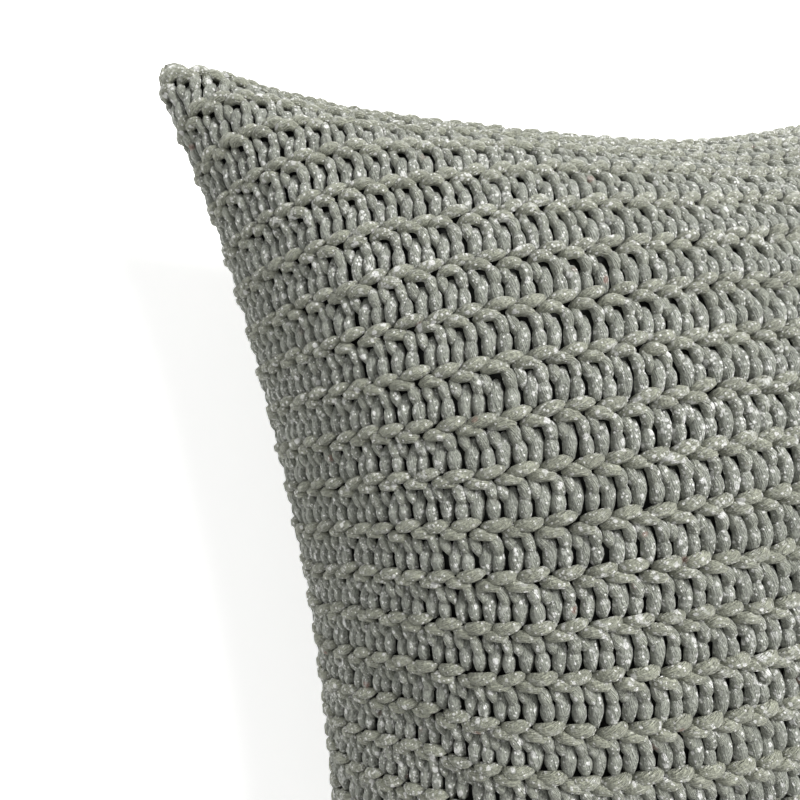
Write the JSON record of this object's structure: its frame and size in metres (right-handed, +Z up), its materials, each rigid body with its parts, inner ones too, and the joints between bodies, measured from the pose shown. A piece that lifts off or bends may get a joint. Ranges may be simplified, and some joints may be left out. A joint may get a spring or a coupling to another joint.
{
  "type": "throw pillow",
  "caption": "Square throw pillow with a chunky crocheted cover, a zipped edge, a cotton lining and a fibre-filled insert.",
  "frame": {"origin": "on the surface that the pillow lies on, under the middle of its outline", "axes": "+Z up through the crown of the front face; rows of stitches along X; the zip along the edge that faces -Y"},
  "size_m": [0.4424, 0.44, 0.1717],
  "materials": {
    "crochet_yarn": "soft chunky wool-blend yarn with a fine metallic thread, matt with small glints",
    "lining_cotton": "plain woven cotton, matt",
    "insert_fabric": "plain woven polycotton, matt",
    "polyester_fill": "hollow fibre",
    "zip_tape": "herringbone tape, matt",
    "zip_plastic": "moulded acetal, satin",
    "thread": "spun polyester thread",
    "zip_metal": "gunmetal plated, satin",
    "label_satin": "woven satin, blank"
  },
  "bodies": {
    "pillow": {"front_cover": "crochet_yarn", "back_cover": "crochet_yarn", "joining_round": "crochet_yarn", "front_lining": "lining_cotton", "back_lining": "lining_cotton", "insert_case_front": "insert_fabric", "insert_case_back": "insert_fabric", "insert_seam": "insert_fabric", "fibre_fill": "polyester_fill", "zip_tape_front": "zip_tape", "zip_tape_back": "zip_tape", "zip_teeth_front": "zip_plastic", "zip_teeth_back": "zip_plastic", "zip_stitching": "thread", "zip_top_stops": "zip_metal", "zip_bottom_stop": "zip_metal", "care_label": "label_satin"},
    "slider": {"zip_slider": "zip_metal", "slider_bridge": "zip_metal"},
    "tab": {"pull_tab": "zip_metal"}
  },
  "joints": [
    {"name": "zip_slide", "type": "slide", "parent": "pillow", "child": "slider", "axis": [1, 0, 0], "range_m": [-0.268, 0], "deforming": ["zip_teeth_front", "zip_teeth_back"]},
    {"name": "tab_hinge", "type": "hinge", "parent": "slider", "child": "tab", "pos_m": [0.138, -0.17487, 0.0758], "axis": [0, 0, 1], "range_deg": [0, 120]}
  ]
}
